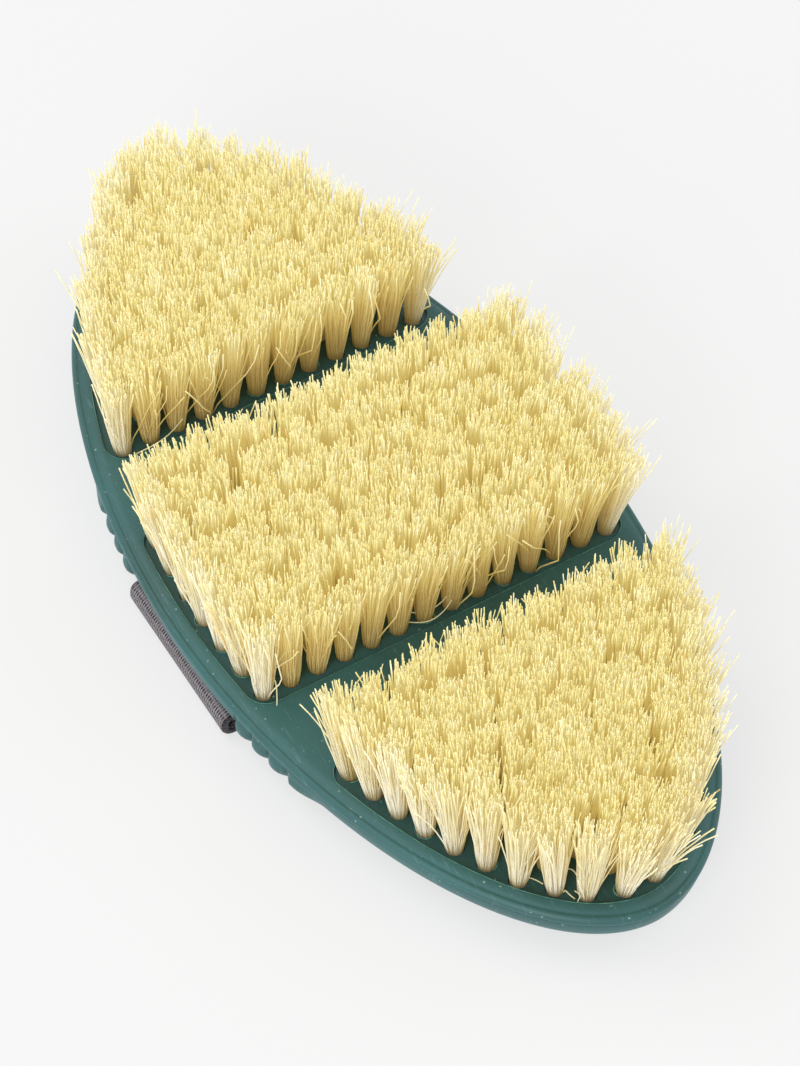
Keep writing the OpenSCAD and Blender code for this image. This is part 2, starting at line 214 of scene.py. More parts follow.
class Material:
    """Principled material; values are numbers, colours or the output sockets of nodes."""

    def __init__(self, name):
        self.data = bpy.data.materials.new(name)
        self.data.use_nodes = True
        self.tree = self.data.node_tree
        self.tree.nodes.clear()
        self.output = self.node("ShaderNodeOutputMaterial")
        self.shader = self.node("ShaderNodeBsdfPrincipled")
        self.feed(self.output, {0: self.shader.outputs[0]})

    def feed(self, node, inputs):
        for key, value in inputs.items():
            if hasattr(value, "links"):
                self.tree.links.new(value, node.inputs[key])
            else:
                node.inputs[key].default_value = value

    def node(self, kind, inputs=None, **settings):
        node = self.tree.nodes.new(kind)
        for key, value in settings.items():
            setattr(node, key, value)
        self.feed(node, inputs or {})
        return node

    def surface(self, inputs):
        self.feed(self.shader, inputs)

    def object_place(self):
        return self.node("ShaderNodeTexCoord").outputs["Object"]

    def noise(self, place, scale, detail, roughness=0.5):
        inputs = {"Vector": place, "Scale": scale, "Detail": detail, "Roughness": roughness}
        return self.node("ShaderNodeTexNoise", inputs).outputs["Fac"]

    def cells(self, place, scale):
        inputs = {"Vector": place, "Scale": scale, "Randomness": 1.0}
        return self.node("ShaderNodeTexVoronoi", inputs).outputs["Distance"]

    def ramp(self, value, stops):
        """Colour ramp; stops are (position, colour)."""
        ramp = self.node("ShaderNodeValToRGB", {0: value})
        elements = ramp.color_ramp.elements
        while len(elements) > 1:
            elements.remove(elements[-1])
        elements[0].position, elements[0].color = stops[0]
        for position, colour in stops[1:]:
            elements.new(position).color = colour
        return ramp.outputs[0]

    def fade(self, value, start, end, low=0, high=1):
        """Grey ramp from low at start to high at end."""
        return self.ramp(value, [(start, grey(low)), (end, grey(high))])

    def mix(self, share, first, second, blend="MIX"):
        node = self.node("ShaderNodeMix", data_type="RGBA", blend_type=blend)
        self.feed(node, {0: share, 6: first, 7: second})
        return node.outputs[2]

    def multiply(self, first, second):
        return self.mix(1.0, first, second, "MULTIPLY")

    def math(self, operation, *values):
        """Math node; a single value is followed by 0."""
        inputs = dict(enumerate(values if len(values) > 1 else (*values, 0.0)))
        return self.node("ShaderNodeMath", inputs, operation=operation).outputs[0]

    def bump(self, height, strength, distance):
        inputs = {"Height": height, "Strength": strength, "Distance": distance}
        self.surface({"Normal": self.node("ShaderNodeBump", inputs).outputs[0]})


def rubber_material(name, brightness=1.0):
    """Matt moulded rubber with a chalky bloom, specks of dust and fine scuffs."""
    mat = Material(name)
    place = mat.object_place()
    cloud = mat.noise(place, scale=38.0, detail=5.0, roughness=0.55)
    fine = mat.noise(place, scale=900.0, detail=3.0, roughness=0.6)
    patches = mat.noise(place, scale=210.0, detail=2.0, roughness=0.6)
    stretch = mat.node("ShaderNodeMapping", {
        "Vector": place, "Rotation": (0, 0, 0.6), "Scale": (1.0, 9.0, 1.0)})
    scuff = mat.noise(stretch.outputs[0], scale=160.0, detail=4.0, roughness=0.7)

    tones = [(0.30, (24, 73, 71)), (0.55, (31, 84, 83)), (0.75, (40, 95, 94))]
    colour = mat.ramp(cloud, [
        (at, srgb(*(c * brightness for c in tone))) for at, tone in tones])
    specks = mat.ramp(mat.cells(place, scale=460.0), [
        (0.0, grey(0.85)), (0.09, grey(0.35)), (0.15, grey(0))])
    specks = mat.multiply(specks, mat.fade(fine, 0.47, 0.56))
    grit = mat.ramp(mat.cells(place, scale=1250.0), [
        (0.0, grey(0.55)), (0.10, grey(0.2)), (0.16, grey(0))])
    grit = mat.multiply(grit, mat.fade(patches, 0.50, 0.66))
    colour = mat.mix(mat.fade(scuff, 0.58, 0.72, high=0.34), colour, srgb(98, 138, 138))
    colour = mat.mix(specks, colour, srgb(170, 194, 188))
    colour = mat.mix(grit, colour, srgb(150, 180, 176))
    mat.surface({
        "Base Color": colour,
        "Roughness": mat.fade(cloud, 0.3, 0.7, low=0.44, high=0.60),
        "Specular IOR Level": 0.55,
        "Sheen Weight": 0.22,
        "Sheen Roughness": 0.5,
        "Sheen Tint": srgb(190, 215, 222)})
    mat.bump(fine, strength=0.25, distance=0.00006)
    return mat.data


def fibre_material():
    """Plant fibre: painted light in cream low on the outer flanks, painted shade in gold deep
    inside the blocks.

    The "fibre" attribute holds shade, height, kind and, in alpha, 1 on the outer flank of a
    block and 0 inside it.
    """
    mat = Material("straw_fibre")
    attribute = mat.node("ShaderNodeAttribute", attribute_name="fibre")
    channels = mat.node("ShaderNodeSeparateColor", {0: attribute.outputs["Color"]})
    shade, height, kind = channels.outputs[:3]
    flank = attribute.outputs["Alpha"]
    streak = mat.noise(mat.object_place(), scale=240.0, detail=3.0, roughness=0.6)

    straw = mat.ramp(shade, [
        (0.0, srgb(183, 167, 106)), (0.3, srgb(191, 178, 122)),
        (0.6, srgb(197, 186, 136)), (1.0, srgb(207, 201, 168))])
    # painted light: the outer flanks of the blocks take a paler cream where the lamps fall on
    # them
    painted_light_cream = mat.ramp(shade, [
        (0.0, srgb(200, 189, 152)), (0.5, srgb(211, 203, 176)), (1.0, srgb(221, 215, 200))])
    # painted shade: gold low inside the blocks stands in for the warm shade between the packed
    # fibres
    painted_shade_gold = mat.ramp(shade, [
        (0.0, srgb(178, 146, 72)), (0.5, srgb(189, 161, 90)), (1.0, srgb(198, 174, 110))])
    inner = mat.mix(mat.fade(height, 0.50, 0.93), painted_shade_gold, straw)
    outer = mat.mix(mat.fade(height, 0.15, 0.95, high=0.6), painted_light_cream, straw)
    # darker tan at the very bottom of the outer flanks
    outer = mat.mix(mat.fade(height, 0.0, 0.16), srgb(186, 163, 112), outer)
    colour = mat.mix(flank, inner, outer)
    colour = mat.mix(mat.fade(streak, 0.42, 0.75, high=0.16), colour, srgb(190, 166, 96))
    # about one fibre in a hundred is brown
    colour = mat.mix(mat.fade(kind, 0.988, 0.995), colour, srgb(186, 142, 66))
    # painted glow: emission stands in for light scattered from fibre to fibre inside the dense
    # bundle, dim near the plate where shade falls
    painted_glow_inner = mat.ramp(height, [
        (0.0, (0.04, 0.029, 0.009, 1)), (0.35, (0.12, 0.092, 0.028, 1)),
        (0.68, (0.235, 0.198, 0.070, 1)), (1.0, (0.245, 0.217, 0.104, 1))])
    painted_glow_outer = mat.ramp(height, [
        (0.0, (0.07, 0.060, 0.036, 1)), (0.30, (0.165, 0.148, 0.100, 1)),
        (1.0, (0.230, 0.208, 0.128, 1))])
    mat.surface({
        "Base Color": colour,
        "Roughness": 0.65,
        "Specular IOR Level": 0.12,
        "Emission Color": mat.mix(flank, painted_glow_inner, painted_glow_outer),
        "Emission Strength": 1.0,
        "Subsurface Weight": 0.75,
        "Subsurface Radius": (1.0, 0.85, 0.5),
        "Subsurface Scale": 0.0012})
    return mat.data


def webbing_material():
    """Woven webbing: cords along the strap, dark gaps in rows between them, grainy yarn."""
    mat = Material("grey_webbing")
    uv = mat.node("ShaderNodeUVMap", uv_map="UVMap").outputs[0]
    # millimetres across and along the strap
    across, along = mat.node("ShaderNodeSeparateXYZ", {0: uv}).outputs[:2]

    def wave(value, pitch):
        cosine = mat.math("COSINE", mat.math("MULTIPLY", value, 2 * math.pi / pitch))
        return mat.math("MULTIPLY_ADD", cosine, 0.5, 0.5)

    cords = wave(across, pitch=0.6667)
    picks = wave(along, pitch=0.95)
    fuzz = mat.noise(uv, scale=2.6, detail=6.0, roughness=0.8)
    blotches = mat.noise(uv, scale=0.35, detail=3.0)

    colour = mat.ramp(fuzz, [
        (0.32, srgb(74, 70, 74)), (0.5, srgb(122, 117, 121)), (0.68, srgb(176, 171, 174))])
    cord_gap = mat.fade(cords, 0.38, 0.66, low=1, high=0)
    pick_gap = mat.fade(picks, 0.40, 0.68, low=1, high=0)
    hole = mat.multiply(cord_gap, pick_gap)
    hole = mat.multiply(hole, mat.fade(blotches, 0.35, 0.7, low=0.95, high=0.55))
    colour = mat.mix(mat.multiply(cord_gap, grey(0.45)), colour, srgb(58, 54, 58))
    colour = mat.mix(hole, colour, srgb(12, 11, 13))
    # painted shade: both edges of the strap darkened for the shadow where it folds between the
    # grips
    off_centre = mat.math("ABSOLUTE", mat.math("SUBTRACT", across, STRAP_UV_CENTRE))
    off_centre = mat.math("DIVIDE", off_centre, STRAP_WIDTH / 2)
    colour = mat.mix(mat.fade(off_centre, 0.955, 0.985, high=0.85), colour, srgb(30, 28, 32))
    mat.surface({
        "Base Color": colour,
        "Roughness": 0.92,
        "Specular IOR Level": 0.15,
        "Sheen Weight": 0.25,
        "Sheen Roughness": 0.4})
    height = mat.math(
        "ADD", mat.math("MULTIPLY", picks, 0.6), mat.math("MULTIPLY", fuzz, 0.8))
    mat.bump(height, strength=0.7, distance=0.00014)
    return mat.data


def mottled_material(name, dark, light, roughness, scale, metallic=0.0):
    mat = Material(name)
    noise = mat.noise(mat.object_place(), scale=scale, detail=4.0)
    mat.surface({
        "Base Color": mat.ramp(noise, [(0.35, dark), (0.65, light)]),
        "Roughness": roughness,
        "Metallic": metallic})
    return mat.data


RUBBER = rubber_material("teal_rubber")
# painted shade: the tuft plates down in the pockets take a copy of the rubber made 8% darker
PLATE = rubber_material("teal_plate", brightness=0.92)
# pale teal for the moulding flash, also used as the painted highlight round the pockets' edges
FLASH_AND_HIGHLIGHT = mottled_material(
    "flash_and_highlight_rubber", srgb(64, 128, 112), srgb(104, 160, 142), roughness=0.5, scale=500.0)
FIBRE = fibre_material()
WEBBING = webbing_material()
WIRE = mottled_material(
    "anchor_wire", srgb(150, 148, 140), srgb(190, 188, 180), roughness=0.35, scale=800.0,
    metallic=1.0)
BAR = mottled_material(
    "clamp_bar", srgb(22, 22, 24), srgb(34, 34, 36), roughness=0.5, scale=200.0)


# ---- rubber body -----------------------------------------------------------
# Rings from the tray's top round the bead and down the side to the back: (outset, z)
PROFILE = [
    (-2.7, 13.54), (-2.3, 13.50), (-1.9, 13.43), (-1.5, 13.33), (-1.2, 13.21), (-0.98, 13.08),
    (-0.8, 12.97), (-0.64, 12.90), (-0.48, 12.87), (-0.32, 12.89), (-0.14, 12.92),
    (0.08, 12.90), (0.32, 12.80), (0.56, 12.62), (0.77, 12.36), (0.92, 12.05), (1.0, 11.72),
    (0.98, 11.42), (0.86, 11.2), (0.6, 11.06), (0.2, 10.98), (-0.25, 10.93), (-0.5, 10.87),
    (-0.5, 10.79), (-0.2, 10.73), (0.12, 10.64), (0.3, 10.5), (0.38, 10.25), (0.42, 9.8),
    (0.4, 9.2), (0.34, 8.6), (0.22, 7.9), (0.08, 7.3), (0.0, 7.1), (-0.2, 6.6), (-0.5, 6.05),
    (-0.85, 5.5), (-1.25, 4.95), (-1.68, 4.4), (-2.12, 3.88), (-2.6, 3.4), (-3.2, 2.96),
    (-4.0, 2.58), (-5.2, 2.3), (-7.0, 2.15), (-10.0, 2.1)]

# Pocket's rounded edge and wall, from the top to the floor: (inset, z)
POCKET_PROFILE = [
    (-0.22, TOP_Z), (-0.12, TOP_Z - 0.02), (-0.04, TOP_Z - 0.09), (0.0, TOP_Z - 0.2),
    (0.0, TOP_Z - 0.6), (0.0, 10.4), (0.0, 8.15)]
CORNER_ANGLES = np.radians(np.arange(0, 91, 9))


def outline_angles():
    """Angles of the upper half outline (0 to 180 degrees) and of the whole ring."""
    # close together at the grips
    xs = np.concatenate([
        np.arange(0.0, 20.4, 1.4), np.arange(20.5, 43.0, 0.2),
        np.arange(43.4, 50.0, 0.5), np.arange(50.5, 92.0, 1.4)])
    angles = sorted(body_angle(x) for x in xs)
    quarter = np.concatenate([np.linspace(0, angles[0], 22)[:-1], angles])
    half = np.concatenate([quarter, (math.pi - quarter[:-1])[::-1]])
    return half, np.concatenate([half, -half[1:-1][::-1]])


HALF, RING = outline_angles()


def grip_swell(from_middle, z):
    """Sideways swell by distance from the middle: three tabs, then a shoulder."""
    proud = 1.15 * plateau(z, 2.2, 3.2, 5.6, 9.2)
    notch = -1.25 * plateau(z, 2.15, 3.0, 8.2, 10.3)
    tab_top = proud + (0.35 if proud > 0.05 else 0)
    swell = np.zeros_like(from_middle)
    for start, end in zip(TAB_EDGES[:-1], TAB_EDGES[1:]):
        centre, half = (start + end) / 2, (end - start) / 2 - 0.1
        across = np.clip(np.abs((from_middle - centre) / half), 0, 1)
        tab = notch + (tab_top - notch) * (1 - across ** 2.6) ** (1 / 2.2)
        swell = np.where((from_middle >= start) & (from_middle < end), tab, swell)
    start, climb_length, shoulder_top = TAB_EDGES[-1], 2.2, proud + 0.3
    climb = np.clip((from_middle - start) / climb_length, 0, 1) ** 0.5
    climb = notch + (shoulder_top - notch) * climb
    fall = shoulder_top * (1 - smooth(from_middle, start + 3.4, start + 11))
    shoulder = np.where(from_middle < start + climb_length, climb, fall)
    return np.where(from_middle >= start, shoulder, swell)


def shape_side(outline, z):
    """Swell one ring of the side at the grips and cut the strap's bay into it."""
    if z >= 10.6:
        return outline
    x, y = outline.T
    from_middle = np.abs(x)
    gripped = (from_middle > TAB_START) & (np.abs(y) > 20)
    swell = np.where(gripped, grip_swell(from_middle, z), 0.0)
    half = np.abs(y) + swell * plateau(z, 2.12, 2.6, 9.6, 10.6)
    if z < BAY_TOP + 0.05:
        # the wall steps in further where the strap passes
        wall = np.where((from_middle < 20.4) & (4.0 < z < 6.1), BAY_Y - 1.2, BAY_Y)
        blend = smooth(from_middle, BAY_X - 0.35, BAY_X + 0.35)
        cut = np.minimum(half, wall * (1 - blend) + blend * half)
        half = np.where(from_middle < BAY_X + 0.35, cut, half)
    return np.stack([x, np.sign(y) * half], -1)


def end_pocket(inset, steps=110):
    """Outline of the heel's pocket: straight at the channel, curved round the nose."""
    outset, corner = -POCKET_RIM - inset, POCKET_CORNER - inset
    centre_x = CHANNEL_OUTER + inset + corner
    centre_y = body_half_width(centre_x, outset) - corner
    start = body_angle(centre_x, outset)
    low_turn = math.pi / 2 - CORNER_ANGLES
    return np.concatenate([
        np.stack([centre_x - corner * np.sin(low_turn),
                  -centre_y - corner * np.cos(low_turn)], -1),
        body_points(-start + 2 * start * np.arange(1, steps) / steps, outset),
        np.stack([centre_x - corner * np.sin(CORNER_ANGLES),
                  centre_y + corner * np.cos(CORNER_ANGLES)], -1)])


def middle_pocket(inset, steps=40):
    """Outline of the middle pocket: straight at both channels."""
    outset, corner = -POCKET_RIM - inset, POCKET_CORNER - inset
    centre_x = CHANNEL_INNER - inset - corner
    centre_y = body_half_width(centre_x, outset) - corner
    start = body_angle(centre_x, outset)
    cos, sin = corner * np.cos(CORNER_ANGLES), corner * np.sin(CORNER_ANGLES)
    span = (math.pi - 2 * start) * (np.arange(1, steps) / steps)
    return np.concatenate([
        np.stack([centre_x + cos, centre_y + sin], -1),
        body_points(start + span, outset),
        np.stack([-centre_x - sin, centre_y + cos], -1),
        np.stack([-centre_x - cos, -centre_y - sin], -1),
        body_points(math.pi + start + span, outset),
        np.stack([centre_x + sin, -centre_y - cos], -1)])


def pocket_outline(side, inset):
    if side == 0:
        return middle_pocket(inset)
    return end_pocket(inset) * np.array([side, 1])


def distinct(loop):
    """Which points of a loop lie clear of the point before them."""
    return np.linalg.norm(loop - np.roll(loop, 1, 0), axis=1) > 0.02


def inside(loop, points):
    x, y = points.T
    result = np.zeros(len(points), bool)
    for (ax, ay), (bx, by) in zip(loop, np.roll(loop, -1, 0)):
        crosses_right = x < (bx - ax) * (y - ay) / (by - ay + 1e-12) + ax
        result ^= ((ay > y) != (by > y)) & crosses_right
    return result


def distance_to(loop, points):
    nearest = np.full(len(points), 1e9)
    for start, end in zip(loop, np.roll(loop, -1, 0)):
        edge = end - start
        t = np.clip(((points - start) @ edge) / max(edge @ edge, 1e-9), 0, 1)
        gap = np.linalg.norm(points - (start + t[:, None] * edge), axis=1)
        nearest = np.minimum(nearest, gap)
    return nearest


def loop_edges(count, first=0):
    return [(first + i, first + (i + 1) % count) for i in range(count)]


class Surface:
    """Points and faces collected for one mesh."""

    def __init__(self):
        self.points, self.faces = [], []

    def add(self, outline, z):
        """Add points at one height; returns the index of the first."""
        first = len(self.points)
        self.points.extend((p[0], p[1], z) for p in outline)
        return first


def add_sides(body):
    """Rings from the tray's edge to the back; returns the first index of the two ends."""
    rings = [body.add(shape_side(body_points(RING, outset), z), z) for outset, z in PROFILE]
    for upper, lower in zip(rings[:-1], rings[1:]):
        for i, j in loop_edges(len(RING)):
            body.faces.append((upper + i, lower + i, lower + j, upper + j))
    return rings[0], rings[-1]


def add_back(body, ring):
    """Back between mirrored points of the last ring, grooved across at the hinges."""
    columns, groove_depth, groove_width = 26, 0.8, 1.1
    ends = len(HALF) - 1
    grid = []
    for i in range(len(HALF)):
        left, right = ring + i, ring + (len(RING) - i) % len(RING)
        if i in (0, ends):
            grid.append([left] * (columns + 1))
            continue
        p, q = np.array(body.points[left]), np.array(body.points[right])
        edge_y = abs(p[1])
        row = [left]
        for k in range(1, columns):
            share = k / columns
            x, y, _ = p * (1 - share) + q * share
            groove = math.exp(-((abs(x) - HINGE_X) / groove_width) ** 2)
            groove *= float(1 - smooth(abs(y), edge_y - 5, edge_y - 1))
            row.append(body.add([(x, y)], BACK_Z + groove_depth * groove))
        row.append(right)
        grid.append(row)
    for row, after in zip(grid[:-1], grid[1:]):
        for k in range(columns):
            face = tuple(dict.fromkeys([row[k], row[k + 1], after[k + 1], after[k]]))
            if len(face) >= 3:
                body.faces.append(face)


def add_pocket(body, side):
    """Edge, wall and floor of a pocket; returns the index and the points of its top loop."""
    rings, keep = [], None
    for inset, z in POCKET_PROFILE:
        loop = pocket_outline(side, inset)
        if side < 0:
            loop = loop[::-1]                # mirroring turned it round
        if keep is None:
            keep = distinct(loop)
            top_loop = loop[keep]
        loop = loop[keep]
        rings.append(body.add(loop, z))
    edges = loop_edges(len(loop))
    for upper, lower in zip(rings[:-1], rings[1:]):
        for i, j in edges:
            body.faces.append((upper + i, upper + j, lower + j, lower + i))
    floor = geometry.delaunay_2d_cdt([Vector(p) for p in loop], edges, [], 1, 1e-5)
    source = [origins[0] for origins in floor[3]]
    for face in floor[2]:
        body.faces.append(tuple(rings[-1] + source[i] for i in reversed(face)))
    return rings[0], top_loop


def add_tray_face(body, rim, pockets):
    """Face of the tray between the rim and the pockets, with extra points at the channels."""
    outer = np.array([body.points[rim + i][:2] for i in range(len(RING))])
    points = [tuple(p) for p in outer]
    ids = [rim + i for i in range(len(RING))]
    edges = loop_edges(len(RING))
    for first, loop in pockets:
        edges += loop_edges(len(loop), len(points))
        points += [tuple(p) for p in loop]
        ids += [first + i for i in range(len(loop))]

    channel_xs = np.arange(CHANNEL_INNER + 0.8, CHANNEL_OUTER - 0.4, 0.9)
    extra = []
    for x in np.concatenate([channel_xs, -channel_xs]):
        edge_y = body_half_width(abs(x), PROFILE[0][0])
        extra += [(x, y) for y in np.linspace(-edge_y, edge_y, 44)[1:-1]]
    extra = np.array(extra)
    clearance = 0.5
    clear = distance_to(outer, extra) > clearance
    for _, loop in pockets:
        clear &= (distance_to(loop, extra) > clearance) & ~inside(loop, extra)
    extra = extra[clear]
    first = body.add(extra, TOP_Z)
    ids += [first + i for i in range(len(extra))]
    points += [tuple(p) for p in extra]

    result = geometry.delaunay_2d_cdt([Vector(p) for p in points], edges, [], 1, 1e-6)
    source = [origins[0] if origins else -1 for origins in result[3]]
    faces = [[source[i] for i in face] for face in result[2]]
    triangles = np.array([face for face in faces if min(face) >= 0])
    centres = np.array(points)[triangles].mean(1)
    wanted = inside(outer, centres)
    for _, loop in pockets:
        wanted &= ~inside(loop, centres)
    for face in triangles[wanted]:
        body.faces.append(tuple(ids[i] for i in face))


def body_surface():
    body = Surface()
    rim, back_ring = add_sides(body)
    add_back(body, back_ring)
    add_tray_face(body, rim, [add_pocket(body, side) for side in (1, 0, -1)])
    return body


def half_body(name, body, side):
    """One half of the moulding, cut at the middle of the brush and capped."""
    ob = make_mesh(name, np.array(body.points), body.faces, RUBBER)
    bm = bmesh.new()
    bm.from_mesh(ob.data)
    bmesh.ops.remove_doubles(bm, verts=bm.verts, dist=1e-7)
    cut = bmesh.ops.bisect_plane(
        bm, geom=bm.verts[:] + bm.edges[:] + bm.faces[:], plane_co=(0, 0, 0),
        plane_no=(1, 0, 0), clear_inner=side > 0, clear_outer=side < 0, dist=1e-7)["geom_cut"]
    cut_edges = [e for e in cut if isinstance(e, bmesh.types.BMEdge)]
    caps = bmesh.ops.holes_fill(bm, edges=cut_edges, sides=0)["faces"]
    bmesh.ops.triangulate(bm, faces=caps)
    for edge in cut_edges:
        edge.smooth = False
    bmesh.ops.recalc_face_normals(bm, faces=bm.faces[:])
    for edge in bm.edges:
        if len(edge.link_faces) == 2 and edge.calc_face_angle(0) > math.radians(50):
            edge.smooth = False
    bm.to_mesh(ob.data)
    bm.free()
    return ob


def build_body():
    body = body_surface()
    toe = half_body("rubber_body_toe_half", body, -1)
    heel = half_body("rubber_body_heel_half", body, 1)
    for ob, side, name in ((toe, -1, "toe"), (heel, 1, "heel")):
        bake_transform(ob)
    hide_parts("toe_back_shell", "toe_face_tray", "toe_flex_web",
                "middle_back_shell", "middle_face_tray")
    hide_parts("heel_back_shell", "heel_face_tray", "heel_flex_web")


build_body()


# ---- tufts -----------------------------------------------------------------
# Both end blocks are laid out on +x; the toe's is mirrored at the end. The near side is -y.
FIBRE_POINTS, FIBRE_SIDES = 7, 4
ROOT_DEPTH = 1.1                             # below the plate
RANDOM_TURN = 6.28                           # upper limit of a random angle
GOLDEN_ANGLE = 2.399963
NEAR_OPENING = {-1: 0.0, 0: 0.004, 1: 0.024}      # extra widening per mm of height, by side
NEAR_FLARE = {-1: 0.3, 0: 0.3, 1: 0.7}
FAR_OPENING, FAR_FLARE = 0.012, 1.7          # the far side is worn wider open
WEDGE_GAP, WEDGE_SLOPE = 1.45, 0.1944        # room kept at the hinge, and per mm of height


def row_numbers(side):
    return range(1, 8 if side == 0 else 10)


def tuft_row(side, row):
    """Places of the tufts in one row."""
    if side != 0 and row == 9:
        return [(tufts_reach(y), y) for y in (-10.2, -3.4, 3.4, 10.2)]
    if side == 0:
        x = -MIDDLE_ROW_X + (row - 1) * 2 * MIDDLE_ROW_X / 6
    else:
        x = END_ROW_X + (row - 1) * END_ROW_PITCH
    half = tufts_half_width(x)
    if side != 0 and row < 7:
        half -= 0.8
    if side != 0 and row == 8:
        return [(x - 1.1, -half - 0.6), (x, -3.2), (x, 3.2), (x - 1.1, half + 0.6)]
    pitch = 6.35
    gaps = max(2, math.floor(2 * half / pitch + 0.5))
    return [(x, -half + 2 * half * i / gaps) for i in range(gaps + 1)]


class Tuft:
    """One tuft's place and how the edge of its block pushes it outwards.

    push is the unit vector outwards, strength how strongly the tuft splays, and rim how
    near it stands to the oval's edge.
    """

    def __init__(self, side, place):
        self.side, (self.x, self.y) = side, place
        self.near = self.y < 0
        self.beside_channel = abs(self.x) > 21 if side == 0 else self.x < 48
        self.rim = max(0.0, 1 - (tufts_half_width(self.x) - abs(self.y)) / 5.0)
        push = np.zeros(2)
        if self.rim > 0:
            place, radii = np.array(place), np.array([TUFTS_X, TUFTS_Y])
            slope = (np.abs(place) / radii) ** (TUFTS_POWER - 1) / radii * np.sign(place)
            push += unit(slope) * self.rim
        if self.beside_channel:
            push[0] += math.copysign(0.75, self.x) if side == 0 else -0.75
        size = np.linalg.norm(push)
        self.push = push / size if size > 0 else push
        self.strength = min(size, 1.0)

    def axis(self):
        """Direction of the tuft, leaning outwards towards the block's edges."""
        if self.side == 0:
            u = self.x / MIDDLE_ROW_X
        else:
            u = (self.x - (END_ROW_X + TUFTS_X) / 2) / ((TUFTS_X - END_ROW_X) / 2)
        lean_x = math.radians((7 if u > 0 and self.side != 0 else 3.5) * u ** 3)
        lean_y = math.radians(7 * (self.y / TUFTS_Y) ** 3)
        up = math.cos(lean_y)
        axis = np.array([up * math.sin(lean_x), math.sin(lean_y), up * math.cos(lean_x)])
        if self.near and self.side == 0:     # stands straighter towards the heel
            axis[1] *= 0.85 - 0.65 * (self.x + MIDDLE_ROW_X) / (2 * MIDDLE_ROW_X)
        return axis


def tuft_roots(rng, tuft, count):
    """Fibre places across the hole, packed in a spiral."""
    i = np.arange(count)
    radius = (1.78 - 0.16 * tuft.strength) * np.sqrt((i + 0.5) / count)
    angle = i * GOLDEN_ANGLE + rng.uniform(0, RANDOM_TURN)
    roots = np.stack([radius * np.cos(angle) + rng.normal(0, 0.05, count),
                      radius * np.sin(angle) + rng.normal(0, 0.05, count)], -1)
    hole_radius = 1.80
    spread = np.hypot(*roots.T)
    return roots * np.minimum(1, hole_radius / np.maximum(spread, 1e-6))[:, None]


def fibre_lengths(rng, tuft, roots):
    """Length above the plate, and which fibres are strays."""
    count = len(roots)
    tuft_extra = rng.normal(0, 0.30)
    length = TUFT_LENGTH + tuft_extra + rng.normal(0, 0.58, count)
    length -= 0.25 * (np.hypot(*roots.T) / 1.7) ** 2       # the tips make a slight dome
    pick = rng.random(count)
    length = np.where(pick < 0.05, length + rng.uniform(0.5, 2.2, count), length)
    length = np.where(pick > 0.93, length - rng.uniform(0.8, 4.5, count), length)
    stray = rng.random(count) < 0.035 + 0.03 * tuft.strength
    length = np.where(stray, length * rng.uniform(0.6, 1.02, count), length)
    return length, stray


def fibre_offsets(rng, tuft, roots, stray, height):
    """Offsets across the tuft's axis (fibre, point, 2), and a tone for each fibre."""
    count = len(roots)
    # the bundle leaves its hole as a tight bulb and opens steadily to its tips
    opening = NEAR_OPENING[tuft.side] if tuft.near else FAR_OPENING
    # the end rows stand further apart and fill in
    loose = 0.016 * (1 - tuft.rim) if tuft.side != 0 and tuft.x > 84 else 0.0
    swell = 1 + 0.07 * (1 - np.exp(-height / 1.5))
    swell += (0.050 + opening * tuft.rim + loose) * height - 0.0006 * height ** 2

    def per_fibre(ordinary, astray):
        return np.where(stray, astray, ordinary)[:, None]

    drift = rng.normal(0, 1, (count, 2)) * per_fibre(0.015, 0.085)
    bend = rng.normal(0, 1, (count, 2)) * per_fibre(0.62 + 0.35 * tuft.strength, 2.4)
    sway = rng.uniform(0.02, 0.10, (count, 2))[:, None]
    wavelength = rng.uniform(9, 17, (count, 2))[:, None]
    phase = rng.uniform(0, RANDOM_TURN, (count, 2))[:, None]

    # fibres gather into small locks towards the tips
    locks = 7
    seeds = rng.normal(0, 0.95, (locks, 2))
    lock_of = np.argmin(((roots[:, None] - seeds) ** 2).sum(-1), 1)
    centres = np.array([
        roots[lock_of == k].mean(0) if np.any(lock_of == k) else (0, 0)
        for k in range(locks)])[lock_of]
    lock_shift = rng.normal(0, 0.55, (locks, 2))[lock_of]
    tone = rng.normal(0, 0.15, locks)[lock_of]

    height = height[..., None]
    share = height / TUFT_LENGTH
    pull = 0.36 * share ** 1.5
    offset = (roots[:, None] * (1 - pull) + centres[:, None] * pull) * swell[..., None]
    offset += drift[:, None] * height + bend[:, None] * share ** 2
    offset += lock_shift[:, None] * share ** 1.4
    swing = np.sin(6.283 * height / wavelength + phase) - np.sin(phase)
    offset += sway * swing * np.minimum(height / 3, 1)
    return offset, tone


def flare_out(rng, tuft, points, outward, share):
    """Splay the fibres on the outer flank of an edge tuft outwards."""
    count = len(points)
    wear = NEAR_FLARE[tuft.side] if tuft.near else FAR_FLARE
    wear = 0.8 + (wear - 0.8) * tuft.rim
    reach = rng.uniform(0.1, 1.0, count) ** 1.5 * 2.2
    flare = tuft.strength * np.maximum(outward, 0) * reach * wear
    wild = (rng.random(count) < 0.06 * min(wear, 1.0)) & (outward > 0.2)
    wild_reach = tuft.strength * rng.uniform(1.0, 3.6, count) * wear ** 0.5
    flare = np.where(wild, flare + wild_reach, flare)
    points[..., :2] += tuft.push * (flare[:, None] * share ** 1.6)[..., None]


def sweep_over_channel(rng, tuft, points, length, share):
    """Tilt up to three fibres far out over the channel."""
    swept = int(rng.integers(0, 4))
    which = rng.choice(len(points), swept, replace=False)
    heading = unit(np.stack([
        rng.uniform(0.1, 0.8, swept) * math.copysign(1, tuft.push[0]),
        rng.uniform(-1, 1, swept) - 0.9 * tuft.y / TUFTS_Y], -1))
    tilt = rng.uniform(0.20, 0.60, swept)
    share = share[which] ** 1.2
    out = (length[which] * np.sin(tilt))[:, None] * share
    points[which, :, :2] += heading[:, None] * out[..., None]
    points[which, :, 2] -= (length[which] * (1 - np.cos(tilt)))[:, None] * share


